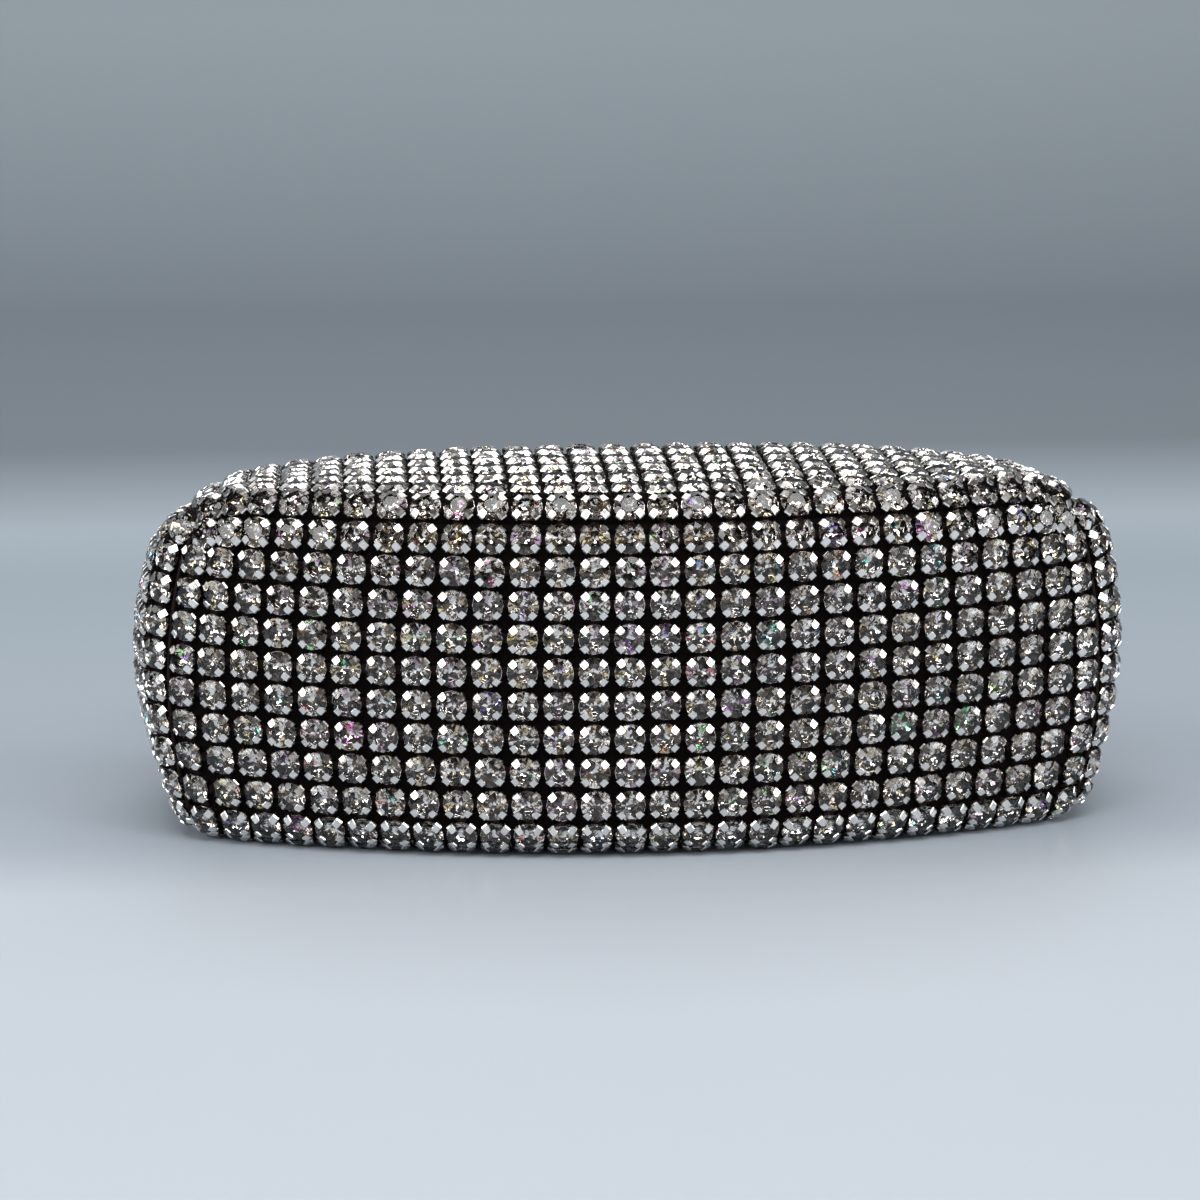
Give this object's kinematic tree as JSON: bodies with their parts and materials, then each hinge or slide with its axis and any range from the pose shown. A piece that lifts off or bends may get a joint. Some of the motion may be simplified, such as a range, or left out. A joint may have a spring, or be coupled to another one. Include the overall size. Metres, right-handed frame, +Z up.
{
  "type": "evening pouch",
  "caption": "Boxy crystal mesh evening pouch lying on its back, satin lined, with a hidden hinged steel frame that opens its mouth",
  "frame": {"origin": "centre of the pouch's bounding box, on the surface that it lies on", "axes": "+Z up from that surface; +X along the length of the base; the base faces -Y and the mouth +Y"},
  "size_m": [0.205, 0.13, 0.076],
  "materials": {
    "crystal_mesh": "clear foil-backed stones in bright cups on black netting",
    "satin_lining": "black satin",
    "base_board": "stiff board",
    "frame_steel": "nickel-plated spring steel",
    "magnet_steel": "nickel-plated magnet"
  },
  "bodies": {
    "pouch_body": {"base_mesh": "crystal_mesh", "front_mesh": "crystal_mesh", "front_fold_mesh": "crystal_mesh", "back_mesh": "crystal_mesh", "left_side_mesh": "crystal_mesh", "right_side_mesh": "crystal_mesh", "base_board": "base_board", "base_lining": "satin_lining", "front_lining": "satin_lining", "back_lining": "satin_lining", "left_side_lining": "satin_lining", "right_side_lining": "satin_lining", "back_facing": "satin_lining", "back_frame": "frame_steel", "left_hinge_pin": "frame_steel", "right_hinge_pin": "frame_steel", "back_magnet": "magnet_steel"},
    "front_jaw": {"front_mouth_mesh": "crystal_mesh", "front_facing": "satin_lining", "front_frame": "frame_steel", "front_magnet": "magnet_steel"}
  },
  "joints": [
    {"name": "mouth_hinge", "type": "hinge", "parent": "pouch_body", "child": "front_jaw", "pos_m": [0, 0.033, 0.0088], "axis": [1, 0, 0], "range_deg": [0, 70], "deforming": ["front_fold_mesh"]}
  ]
}
